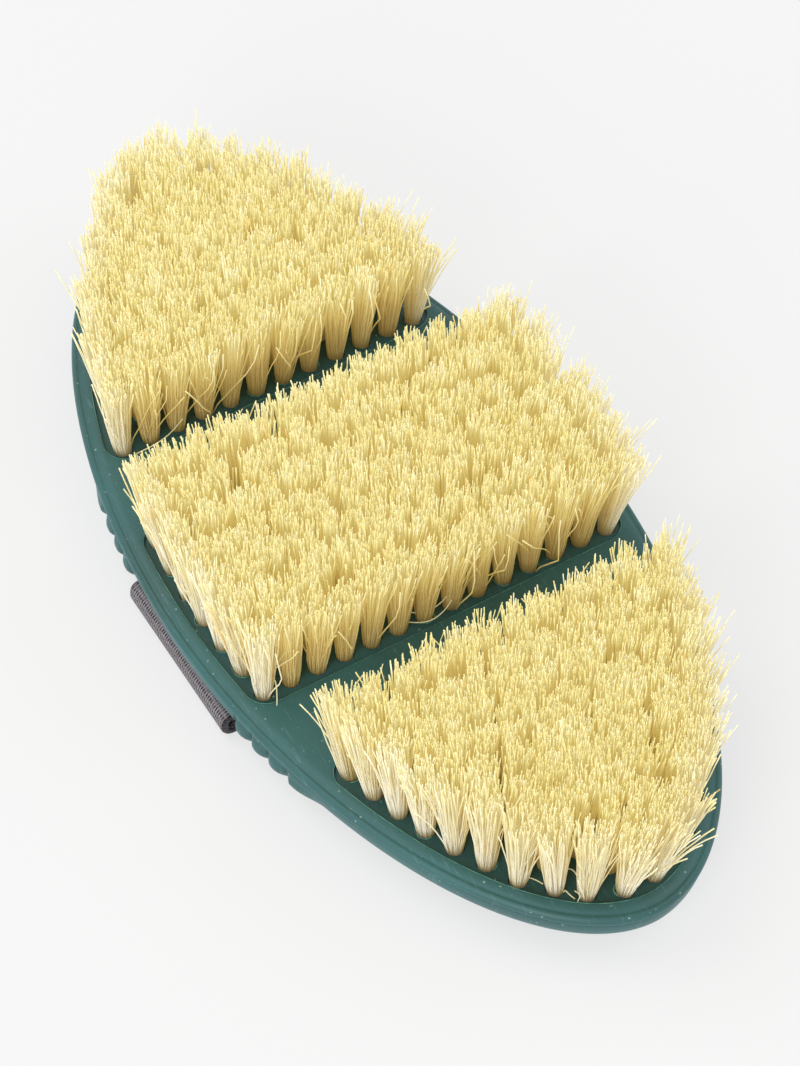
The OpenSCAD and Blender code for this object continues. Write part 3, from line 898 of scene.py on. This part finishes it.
def clear_wedge(rng, side, points):
    """Keep every fibre on its own side of the channel, so that the brush can bend."""
    slack = rng.uniform(0.0, 0.6, len(points))[:, None]
    margin = WEDGE_GAP + WEDGE_SLOPE * (points[..., 2] - PLATE_Z) + slack
    x = points[..., 0]
    if side == 0:
        points[..., 0] = np.sign(x) * np.minimum(np.abs(x), HINGE_X - margin)
    else:
        points[..., 0] = np.maximum(x, HINGE_X + margin)


def tuft_fibres(rng, side, place):
    """Points (fibre, point, 3), radii and "fibre" colours of one tuft."""
    tuft = Tuft(side, place)
    count = int(rng.integers(146, 158))
    axis = unit(tuft.axis() + np.append(rng.normal(0, 0.021, 2), 0))
    across = unit(np.cross([0, 1, 0], axis))
    plane = np.stack([across, np.cross(axis, across)])
    roots = tuft_roots(rng, tuft, count)
    length, stray = fibre_lengths(rng, tuft, roots)

    along = np.linspace(0, 1, FIBRE_POINTS)[None, :] ** 0.92
    from_plate = -ROOT_DEPTH + along * (length[:, None] + ROOT_DEPTH)
    height = np.maximum(from_plate, 0)
    share = height / TUFT_LENGTH
    offset, tone = fibre_offsets(rng, tuft, roots, stray, height)
    points = np.array([tuft.x, tuft.y, PLATE_Z]) + axis * from_plate[..., None]
    points += offset @ plane

    outward = np.clip(roots @ (plane @ np.append(tuft.push, 0)) / 1.8, -0.2, 1)
    flare_out(rng, tuft, points, outward, share)
    if tuft.beside_channel:
        sweep_over_channel(rng, tuft, points, length, share)
    clear_wedge(rng, side, points)

    radii = rng.uniform(0.132, 0.180, count)[:, None] * (1 - 0.15 * along)
    shade = 0.5 + tone + rng.normal(0, 0.15, count) + rng.normal(0, 0.05)
    # flank: how much of the painted flank light and glow the fibre takes
    flank = (tuft.rim + 0.15 * (tuft.strength - tuft.rim)) * (0.45 + 1.1 * outward)
    colours = np.zeros((count, FIBRE_POINTS, 4))
    colours[..., 0] = np.clip(shade, 0, 1)[:, None]
    colours[..., 1] = np.clip(share, 0, 1)
    colours[..., 2] = rng.random(count)[:, None]
    colours[..., 3] = np.clip(flank, 0, 1)[:, None]
    if side < 0:
        points[..., 0] *= -1
    return points, radii, colours


def fibre_tubes(name, points, radii, colours):
    """One object of closed tubes round the polylines."""
    count, steps = radii.shape
    direction = unit(np.gradient(points, axis=1))
    normal = unit(np.cross(direction, np.array([0.0, 1.0, 0.0])))[:, :, None]
    binormal = np.cross(direction[:, :, None], normal)
    angle = (np.arange(FIBRE_SIDES) * 2 * math.pi / FIBRE_SIDES)[:, None]
    ring = np.cos(angle) * normal + np.sin(angle) * binormal
    vertices = (points[:, :, None] + radii[:, :, None, None] * ring).reshape(-1, 3)
    index = np.arange(count * steps * FIBRE_SIDES).reshape(count, steps, FIBRE_SIDES)
    low, high = index[:, :-1], index[:, 1:]
    quads = np.stack([low, np.roll(low, -1, 2), np.roll(high, -1, 2), high], -1)
    tip, root = index[:, -1], index[:, 0]
    caps = []
    for k in range(1, FIBRE_SIDES - 1):
        caps.append(np.stack([tip[:, 0], tip[:, k], tip[:, k + 1]], -1))
        caps.append(np.stack([root[:, 0], root[:, k + 1], root[:, k]], -1))
    colours = np.repeat(colours.reshape(-1, 4), FIBRE_SIDES, 0)
    return big_mesh(name, vertices, quads, np.concatenate(caps), FIBRE, colours)


def build_row(block, row):
    side = SIDE_OF[block]
    rng = np.random.default_rng(1000 * (side + 2) + row)
    tufts = [tuft_fibres(rng, side, place) for place in tuft_row(side, row)]
    ob = fibre_tubes(f"{block}_fibre_row_{row}", *map(np.concatenate, zip(*tufts)))
    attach(ob, block)
    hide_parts(f"{block}_tuft_row_{row}")


for block in ("middle", "toe", "heel"):
    for row in row_numbers(SIDE_OF[block]):
        build_row(block, row)


# ---- moulding flash and a painted highlight round the pockets --------------
def cord(points, radii, closed=False, sides=5, widen=1.0):
    """Points and faces of a thin tube along a mostly level curve."""
    points, radii = np.asarray(points, float), np.asarray(radii, float)
    if closed:
        direction = np.roll(points, -1, 0) - np.roll(points, 1, 0)
    else:
        direction = np.gradient(points, axis=0)
    direction = unit(direction)
    level = np.cross(direction, [0, 0, 1.0])
    level /= np.maximum(np.linalg.norm(level, axis=1, keepdims=True), 1e-6)
    upright = np.cross(level, direction)[:, None]
    angle = (np.arange(sides) * 2 * math.pi / sides)[:, None]
    ring = np.cos(angle) * level[:, None] * widen + np.sin(angle) * upright
    vertices = points[:, None] + radii[:, None, None] * ring
    count = len(points)
    faces = []
    for i in range(count if closed else count - 1):
        a, b = i * sides, (i + 1) % count * sides
        faces += [(a + k, b + k, b + k2, a + k2) for k, k2 in loop_edges(sides)]
    if not closed:
        faces.append(tuple(range(sides)))
        faces.append(tuple((count - 1) * sides + k for k in reversed(range(sides))))
    return vertices.reshape(-1, 3), faces


def bumpy(rng, count, period):
    """Smooth random values between 0 and 1 along count steps."""
    knots = max(4, int(count / period))
    values = rng.uniform(-0.15, 1.1, knots + 1)
    return np.clip(np.interp(np.linspace(0, knots, count), np.arange(knots + 1), values), 0, 1)


def taper(count, margin, power):
    """Thickness that swells from both ends to the middle."""
    return np.sin(math.pi * np.linspace(margin, 1 - margin, count)) ** power


def hole_rings(rng, side):
    """Broken rings round about half of the tuft holes."""
    rings = []
    places = [place for row in row_numbers(side) for place in tuft_row(side, row)]
    for x, y in places:
        if rng.random() > 0.5:
            continue
        if side < 0:
            x = -x
        start, span = rng.uniform(0, RANDOM_TURN), rng.uniform(0.9, 4.2)
        count = max(8, int(span * 7)) + 1
        angle = start + span * np.linspace(0, 1, count)
        radius = rng.uniform(2.04, 2.16)
        radius = radius + 0.07 * np.sin(3 * angle + rng.uniform(0, RANDOM_TURN))
        radius += 0.05 * rng.random(count)
        thickness = rng.uniform(0.05, 0.13) * (0.2 + 0.8 * taper(count, 0.02, 0.5))
        centreline = np.stack([x + radius * np.cos(angle), y + radius * np.sin(angle),
                               np.full(count, PLATE_Z + 0.02)], -1)
        rings.append(cord(centreline, thickness, widen=1.5))
    return rings


def pocket_edge_highlight(rng, side):
    """Uneven pale cord round the pocket's edge: a painted highlight on the edge's crest."""
    loop = pocket_outline(side, -0.03)
    loop = loop[distinct(loop)]
    loop = np.concatenate([loop, loop[:1]])
    length = distance_along(loop)[-1]
    count = int(length / 0.7)
    points = resample(loop, np.linspace(0, length, count, endpoint=False))
    radii = 0.035 + 0.06 * bumpy(rng, count, 9) * (0.6 + 0.4 * rng.random(count))
    radii[-1] = radii[0]
    level = np.full(count, TOP_Z - 0.03)
    return cord(np.column_stack([points, level]), radii, closed=True, sides=4)


def seam_scraps(rng, side):
    """Short scraps at random gaps along the seam under the bead."""
    scraps = []
    start_x, end_x = (0.0, 20.5) if side == 0 else (43.5, 88.0)
    for sign_x in ((-1, 1) if side == 0 else (side,)):
        for sign_y in (-1, 1):
            x = start_x + rng.uniform(0.5, 3)
            while x < end_x:
                scrap_end = min(x + rng.uniform(1.5, 7.0), end_x)
                count = max(4, int((scrap_end - x) / 0.35))
                xs = np.linspace(x, scrap_end, count)
                ys = body_half_width(xs, 0.12) + 0.10 * rng.random(count)
                zs = 10.66 + 0.05 * rng.random(count)
                radii = taper(count, 0.03, 0.6) * rng.uniform(0.05, 0.16)
                radii *= 0.5 + 0.5 * rng.random(count)
                points = np.stack([sign_x * xs, sign_y * ys, zs], -1)
                scraps.append(cord(points, radii, sides=4, widen=0.9))
                x = scrap_end + rng.uniform(2.0, 11.0)
    return scraps


def torn_scrap(rng, count=30):
    """A torn scrap under the bead on the heel's -y side."""
    xs = np.linspace(44.5, 52.5, count)
    zs = 10.5 - 0.25 * np.sin(np.linspace(0, 9.0, count)) - 0.2 * rng.random(count)
    points = np.stack([xs, -body_half_width(xs, 0.25), zs], -1)
    return cord(points, 0.09 + 0.17 * bumpy(rng, count, 4), widen=0.8)


def build_flash_and_highlight(block):
    side = SIDE_OF[block]
    rng = np.random.default_rng(77 + side)
    # the pocket's edge gets a painted highlight in the same pale teal
    pieces = [*hole_rings(rng, side), pocket_edge_highlight(rng, side), *seam_scraps(rng, side)]
    if block == "heel":
        pieces.append(torn_scrap(rng))
    vertices, faces = [], []
    for piece_vertices, piece_faces in pieces:
        first = len(vertices)
        vertices.extend(piece_vertices)
        faces.extend(tuple(first + i for i in face) for face in piece_faces)
    ob = make_mesh(f"{block}_moulding_flash_and_edge_highlight", vertices, faces, FLASH_AND_HIGHLIGHT)
    face_outwards(ob)
    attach(ob, block)


for block in SIDE_OF:
    build_flash_and_highlight(block)


# ---- loose fibres ----------------------------------------------------------
# Control points (x, y, z) of each fibre
LOOSE = {
    "middle": [
        [(22.8, -39.2, 18.5), (23.3, -38.6, 16.6), (24.7, -39.2, 15.2), (26.1, -40.0, 14.0),
         (27.1, -40.7, 12.95)],
        [(20.1, -8.8, 13.1), (22.9, -6.6, 13.5), (24.9, -3.6, 14.2), (25.0, -0.4, 15.5),
         (24.3, 1.9, 17.2)],
        [(19.9, -5.8, 13.2), (22.6, -3.6, 14.2), (23.2, -0.2, 16.0), (23.1, 1.5, 17.5)],
        [(-23.5, 16.0, 13.0), (-25.5, 13.5, 14.0), (-25.0, 10.5, 15.0)],
    ],
    "heel": [
        [(93.4, -12.3, 13.6), (94.5, -12.0, 13.9), (95.2, -12.2, 13.8), (95.4, -12.7, 13.5),
         (95.6, -13.1, 12.9)],
        [(92.2, -14.0, 12.9), (92.2, -13.7, 13.5), (93.5, -13.6, 13.5), (94.7, -13.0, 13.0)],
        [(89.2, -12.1, 14.2), (89.2, -11.5, 15.2), (89.9, -10.6, 15.2), (91.1, -10.4, 14.6),
         (92.5, -10.3, 14.0)],
        [(85.6, -18.5, 12.9), (87.3, -17.7, 13.9), (89.0, -16.7, 13.6)],
        [(47.0, -35.4, 12.8), (44.8, -36.8, 18.5), (42.6, -38.3, 24.5), (40.7, -39.6, 30.0)],
        [(47.1, -35.2, 12.8), (45.4, -36.4, 18.3), (43.5, -38.0, 24.4), (42.2, -39.1, 30.5)],
        [(47.0, -34.9, 12.8), (45.7, -35.7, 18.0), (44.0, -36.9, 24.5), (42.7, -37.6, 31.0)],
        [(89.0, -3.4, 18.0), (89.9, -2.0, 15.2), (91.7, -1.7, 13.4), (92.3, -3.2, 12.9)],
    ],
    "toe": [
        [(-44.5, -34.0, 13.2), (-43.6, -30.0, 14.6), (-43.2, -26.5, 16.4),
         (-43.6, -23.0, 19.0)],
        [(-92.4, 12.0, 12.9), (-94.2, 12.6, 13.8), (-95.3, 11.4, 13.4)],
    ],
}


def build_loose(block, steps=14):
    rng = np.random.default_rng(len(block))
    points, colours = [], []
    for line in LOOSE[block]:
        curve = cut_corners(line, 2)
        points.append(resample(curve, np.linspace(0, distance_along(curve)[-1], steps)))
        shade, height, kind, flank = rng.uniform(0.4, 0.9), 0.85, 0.5, 0.5
        colours.append(np.tile([shade, height, kind, flank], (steps, 1)))
    radii = np.tile(0.15 * np.linspace(1.0, 0.85, steps), (len(points), 1))
    ob = fibre_tubes(f"{block}_loose_fibres", np.array(points), radii, np.array(colours))
    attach(ob, block)


for block in LOOSE:
    build_loose(block)


# ---- hand strap ------------------------------------------------------------
# Middle line of the strap's +y side, from its inner end over the fold to the underside: (y, z)
STRAP_SIDE = [
    (37.3, 5.05), (41.0, 5.05), (44.0, 5.06), (45.3, 5.2), (46.4, 5.6), (47.6, 5.72),
    (48.4, 5.1), (48.68, 3.9), (48.66, 2.7), (48.3, 1.65), (47.5, 1.04), (46.3, 0.9),
    (43.5, 0.9)]


def strap_path():
    """Side, flat underside and mirrored side, with fine steps round the folds."""
    side = cut_corners(STRAP_SIDE, 3)
    fold_start, length = 6.5, distance_along(side)[-1]
    side = resample(side, np.concatenate([
        np.linspace(0, fold_start, 9)[:-1], np.linspace(fold_start, length, 40)]))
    flat_y, flat_z = STRAP_SIDE[-1]
    flat = np.stack([np.linspace(flat_y, -flat_y, 44)[1:-1], np.full(42, flat_z)], -1)
    return np.concatenate([side, flat, side[::-1] * np.array([-1, 1])])


def build_strap():
    """One woven band with rippled faces and rounded edges."""
    path = strap_path()
    direction = unit(np.gradient(path, axis=0))
    normal = np.stack([-direction[:, 1], direction[:, 0]], -1)
    half_width, columns_per_cord, ripple = STRAP_WIDTH / 2, 4, 0.06
    xs = np.linspace(-half_width, half_width, STRAP_CORDS * columns_per_cord + 1)
    edge = np.clip((half_width - np.abs(xs)) / 0.9, 0, 1)
    rounding = np.sqrt(1 - (1 - edge) ** 2)
    cords = ripple * np.cos(2 * math.pi * xs / (STRAP_WIDTH / STRAP_CORDS))
    half = (STRAP_THICKNESS / 2 - 0.07) * (0.35 + 0.65 * rounding) + cords * rounding
    rows, columns = len(path), len(xs)
    grid_x = np.broadcast_to(xs, (rows, columns))
    points = [
        np.stack([grid_x, path[:, :1] + sign * normal[:, :1] * half,
                  path[:, 1:] + sign * normal[:, 1:] * half], -1).reshape(-1, 3)
        for sign in (1, -1)]
    grid_v = np.broadcast_to(distance_along(path)[:, None], (rows, columns))
    uvs = np.stack([grid_x + STRAP_UV_CENTRE, grid_v], -1).reshape(-1, 2)

    a = np.arange(rows * columns).reshape(rows, columns)       # one face of the band
    b = a + rows * columns                                     # the other face
    quads = [
        (a[:-1, :-1], a[:-1, 1:], a[1:, 1:], a[1:, :-1]),
        (b[:-1, :-1], b[1:, :-1], b[1:, 1:], b[:-1, 1:]),
        (a[:-1, 0], a[1:, 0], b[1:, 0], b[:-1, 0]),
        (a[:-1, -1], b[:-1, -1], b[1:, -1], a[1:, -1]),
        (a[0, :-1], b[0, :-1], b[0, 1:], a[0, 1:]),
        (a[-1, :-1], a[-1, 1:], b[-1, 1:], b[-1, :-1])]
    quads = np.concatenate([np.stack(corners, -1).reshape(-1, 4) for corners in quads])
    ob = big_mesh("woven_hand_strap", np.concatenate(points), quads, [], WEBBING,
                  uvs=np.concatenate([uvs, uvs]))
    face_outwards(ob)
    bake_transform(ob)
    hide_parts("hand_strap", "left_strap_side", "right_strap_side",
                "left_strap_end", "right_strap_end")


build_strap()


# ---- CAD pieces that stay visible ------------------------------------------
CAD_MATERIALS = {"tuft_plate": PLATE, "anchor_wires": WIRE, "strap_anchor": BAR}
for name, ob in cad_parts.items():
    for part, material in CAD_MATERIALS.items():
        if part in name:
            ob.data.materials.clear()
            ob.data.materials.append(material)
            break


# ---- floor, lights, world and camera ---------------------------------------
def floor_material(albedo=0.20, glow=0.65):
    mat = Material("pale_floor")
    noise = mat.noise(mat.object_place(), scale=6.0, detail=3.0)
    mat.surface({
        "Base Color": mat.fade(noise, 0.3, 0.7, low=albedo, high=albedo * 1.02),
        "Roughness": 0.9,
        "Specular IOR Level": 0.1,
        "Emission Color": (1, 1, 1, 1),
        "Emission Strength": glow})
    # clear from below, and clear to short rays so that light reaches the brush's underside
    backfacing = mat.node("ShaderNodeNewGeometry").outputs["Backfacing"]
    light_path = mat.node("ShaderNodeLightPath").outputs
    near = mat.math("LESS_THAN", light_path["Ray Length"], 0.015)
    unseen = mat.math("SUBTRACT", 1.0, light_path["Is Camera Ray"])
    clear = mat.math("MAXIMUM", backfacing, mat.math("MULTIPLY", near, unseen))
    transparent = mat.node("ShaderNodeBsdfTransparent")
    blend = mat.node("ShaderNodeMixShader", {
        0: clear, 1: mat.shader.outputs[0], 2: transparent.outputs[0]})
    mat.feed(mat.output, {0: blend.outputs[0]})
    return mat.data


def build_floor():
    """Flat floor that curves up into a quarter round at its far end."""
    steps, half_width, start, bend, radius = 30, 4, -3.0, 1.2, 1.6
    points = []
    for i in range(2 * steps + 1):
        if i < steps:
            y, z = start + (bend - start) * i / steps, 0.0
        else:
            angle = (i - steps) / steps * math.pi / 2
            y, z = bend + radius * math.sin(angle), radius * (1 - math.cos(angle))
        points += [(-half_width, y, z), (half_width, y, z)]
    faces = [(2 * i, 2 * i + 1, 2 * i + 3, 2 * i + 2) for i in range(2 * steps)]
    mesh = bpy.data.meshes.new("floor")
    mesh.from_pydata(points, [], faces)
    mesh.polygons.foreach_set("use_smooth", [True] * len(mesh.polygons))
    mesh.materials.append(floor_material())
    floor = add_object("floor", mesh)
    floor.rotation_euler = (0, 0, math.radians(59))
    floor.location = (0, 0, -0.0001)


def add_light(name, place, size, power):
    """Round area light aimed at the brush."""
    light = bpy.data.lights.new(name, "AREA")
    light.shape, light.size, light.energy = "DISK", size, power
    ob = add_object(name, light)
    ob.location = place
    aim = Vector((0, 0, 0.02)) - Vector(place)
    ob.rotation_euler = aim.to_track_quat("-Z", "Y").to_euler()


def add_world():
    world = bpy.data.worlds.new("studio")
    world.use_nodes = True
    background = world.node_tree.nodes["Background"]
    background.inputs["Color"].default_value = (1, 1, 1, 1)
    background.inputs["Strength"].default_value = 0.80
    bpy.context.scene.world = world


def add_camera():
    """Camera above the heel's -y side, turned about its target."""
    data = bpy.data.cameras.new("camera")
    data.sensor_fit = "HORIZONTAL"
    data.sensor_width = 36.0
    data.lens = 164.2
    data.clip_start = 0.01
    camera = add_object("camera", data)
    target, distance = np.array([1.343, 3.357, PLATE_Z]), 756.61
    azimuth, elevation, roll = map(math.radians, (-31.085, 52.946, 0.373))
    back = np.array([math.cos(elevation) * math.cos(azimuth),
                     math.cos(elevation) * math.sin(azimuth), math.sin(elevation)])
    right = unit(np.cross(-back, [0, 0, 1]))
    up = np.cross(right, -back)
    pose = np.eye(4)
    pose[:3, 0] = math.cos(roll) * right + math.sin(roll) * up
    pose[:3, 1] = -math.sin(roll) * right + math.cos(roll) * up
    pose[:3, 2] = back
    pose[:3, 3] = (target + distance * back) * MM
    camera.matrix_world = Matrix(pose.tolist())
    bpy.context.scene.camera = camera


build_floor()
add_light("key", place=(0.78, -1.15, 0.72), size=0.8, power=12.5)
add_light("fill", place=(0.45, 0.85, 1.05), size=0.9, power=3.5)
add_light("top", place=(-0.55, -0.45, 1.25), size=0.9, power=6.0)
add_world()
bpy.context.scene.view_settings.view_transform = "Standard"
add_camera()
